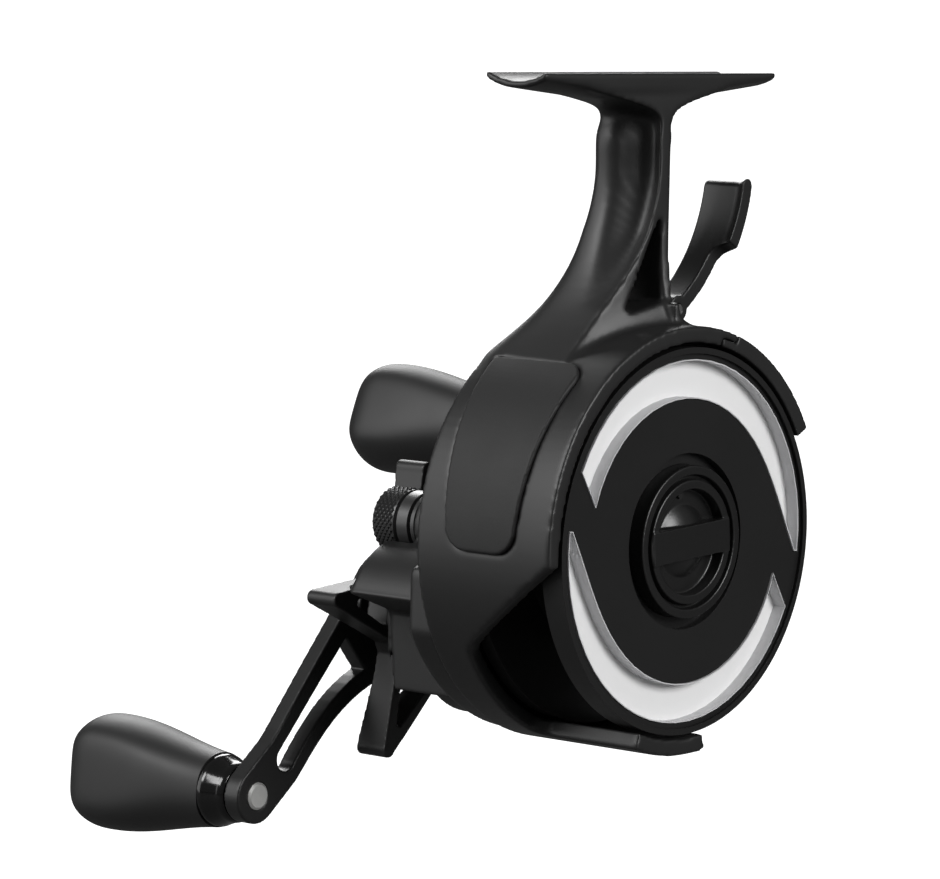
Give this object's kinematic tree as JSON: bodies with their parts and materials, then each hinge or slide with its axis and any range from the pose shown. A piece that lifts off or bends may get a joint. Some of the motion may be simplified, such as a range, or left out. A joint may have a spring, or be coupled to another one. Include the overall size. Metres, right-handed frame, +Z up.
{
  "type": "inline ice-fishing reel",
  "caption": "Inline ice-fishing reel hung from a flat foot: wide face-on spool in a ring housing, geared double-knob crank, star drag and free-spool trigger.",
  "frame": {"origin": "middle of the flat land along the trough in the foot's top, where the rod rests", "axes": "+Z up out of the foot into the rod; the spool and crank turn about Y with the spool's open face looking along -Y; +X is the way the line leaves"},
  "size_m": [0.089, 0.1042, 0.1307],
  "materials": {
    "frame_black": "satin, fine moulded grain",
    "pad_black": "rough soft-touch grain",
    "trigger_black": "satin",
    "spool_black": "satin",
    "cap_black": "semi-gloss",
    "inlay_white": "satin white",
    "steel": "turned",
    "rivet_steel": "lightly brushed",
    "gear_brass": "machined",
    "bush_bronze": "sintered bronze",
    "screw_black": "blackened",
    "drag_fibre": "pressed fibre",
    "star_black": "satin",
    "spacer_black": "satin",
    "arm_black": "satin, fine texture",
    "collar_gloss": "gloss",
    "grip_soft": "soft-touch",
    "brake_black": "black anodised",
    "plunger_white": "acetal",
    "magnet": "nickel plated"
  },
  "bodies": {
    "frame": {"housing": "frame_black", "line_guard": "frame_black", "thumb_pad": "pad_black", "front_bearing": "steel", "trigger_pin": "steel", "rear_cover": "frame_black", "gear_case": "frame_black", "crank_bush": "bush_bronze", "rear_bush": "bush_bronze", "cover_screw_1": "screw_black", "cover_screw_2": "screw_black", "cover_screw_3": "screw_black", "cover_screw_4": "screw_black"},
    "spool": {"spool": "spool_black", "white_inlay_1": "inlay_white", "white_inlay_2": "inlay_white", "spool_cap": "cap_black", "cap_pin": "steel", "spool_shaft": "steel"},
    "clutch": {"pinion": "gear_brass"},
    "crank": {"crank_shaft": "steel", "main_gear": "gear_brass", "drag_washer_fibre": "drag_fibre", "drag_washer_steel": "steel", "crank_spacer": "spacer_black", "crank_arm": "arm_black", "crank_nut": "spacer_black", "knob_post_1": "rivet_steel", "knob_post_2": "rivet_steel"},
    "star": {"drag_star": "star_black"},
    "handle_knob_1": {"knob_1": "grip_soft", "knob_collar_1": "collar_gloss"},
    "handle_knob_2": {"knob_2": "grip_soft", "knob_collar_2": "collar_gloss"},
    "trigger": {"trigger": "trigger_black"},
    "brake_knob": {"brake_knob": "brake_black"},
    "brake_plunger": {"brake_plunger": "plunger_white", "brake_magnet": "magnet"}
  },
  "joints": [
    {"name": "crank_turn", "type": "hinge", "parent": "frame", "child": "crank", "pos_m": [0, 0, -0.09131], "axis": [0, 1, 0], "continuous": true},
    {"name": "spool_turn", "type": "hinge", "parent": "frame", "child": "spool", "pos_m": [0, 0, -0.07395], "axis": [0, 1, 0], "continuous": true},
    {"name": "knob_1_spin", "type": "hinge", "parent": "crank", "child": "handle_knob_1", "pos_m": [0.03461, 0, -0.06318], "axis": [0, 1, 0], "continuous": true},
    {"name": "knob_2_spin", "type": "hinge", "parent": "crank", "child": "handle_knob_2", "pos_m": [-0.03461, 0, -0.11944], "axis": [0, 1, 0], "continuous": true},
    {"name": "star_turn", "type": "hinge", "parent": "crank", "child": "star", "pos_m": [0, 0, -0.09131], "axis": [0, 1, 0], "range_deg": [-180, 180]},
    {"name": "trigger_pull", "type": "hinge", "parent": "frame", "child": "trigger", "pos_m": [0.0057, 0, -0.03705], "axis": [0, -1, 0], "range_deg": [0, 12]},
    {"name": "clutch_slide", "type": "slide", "parent": "spool", "child": "clutch", "axis": [0, 1, 0], "range_m": [0, 0.0012], "stiffness_N_per_m": 200, "springref_m": -0.0005},
    {"name": "brake_turn", "type": "hinge", "parent": "frame", "child": "brake_knob", "pos_m": [-0.0133, 0, -0.07395], "axis": [0, 1, 0], "range_deg": [0, 270]},
    {"name": "brake_feed", "type": "slide", "parent": "frame", "child": "brake_plunger", "axis": [0, -1, 0], "range_m": [0, 0.0015]}
  ],
  "couplings": [
    {"joint": "spool_turn", "follows": "crank_turn", "ratio": -2.5},
    {"joint": "trigger_pull", "follows": "clutch_slide", "rad_per_m": 174.5},
    {"joint": "brake_turn", "follows": "brake_feed", "rad_per_m": 3141.5}
  ]
}
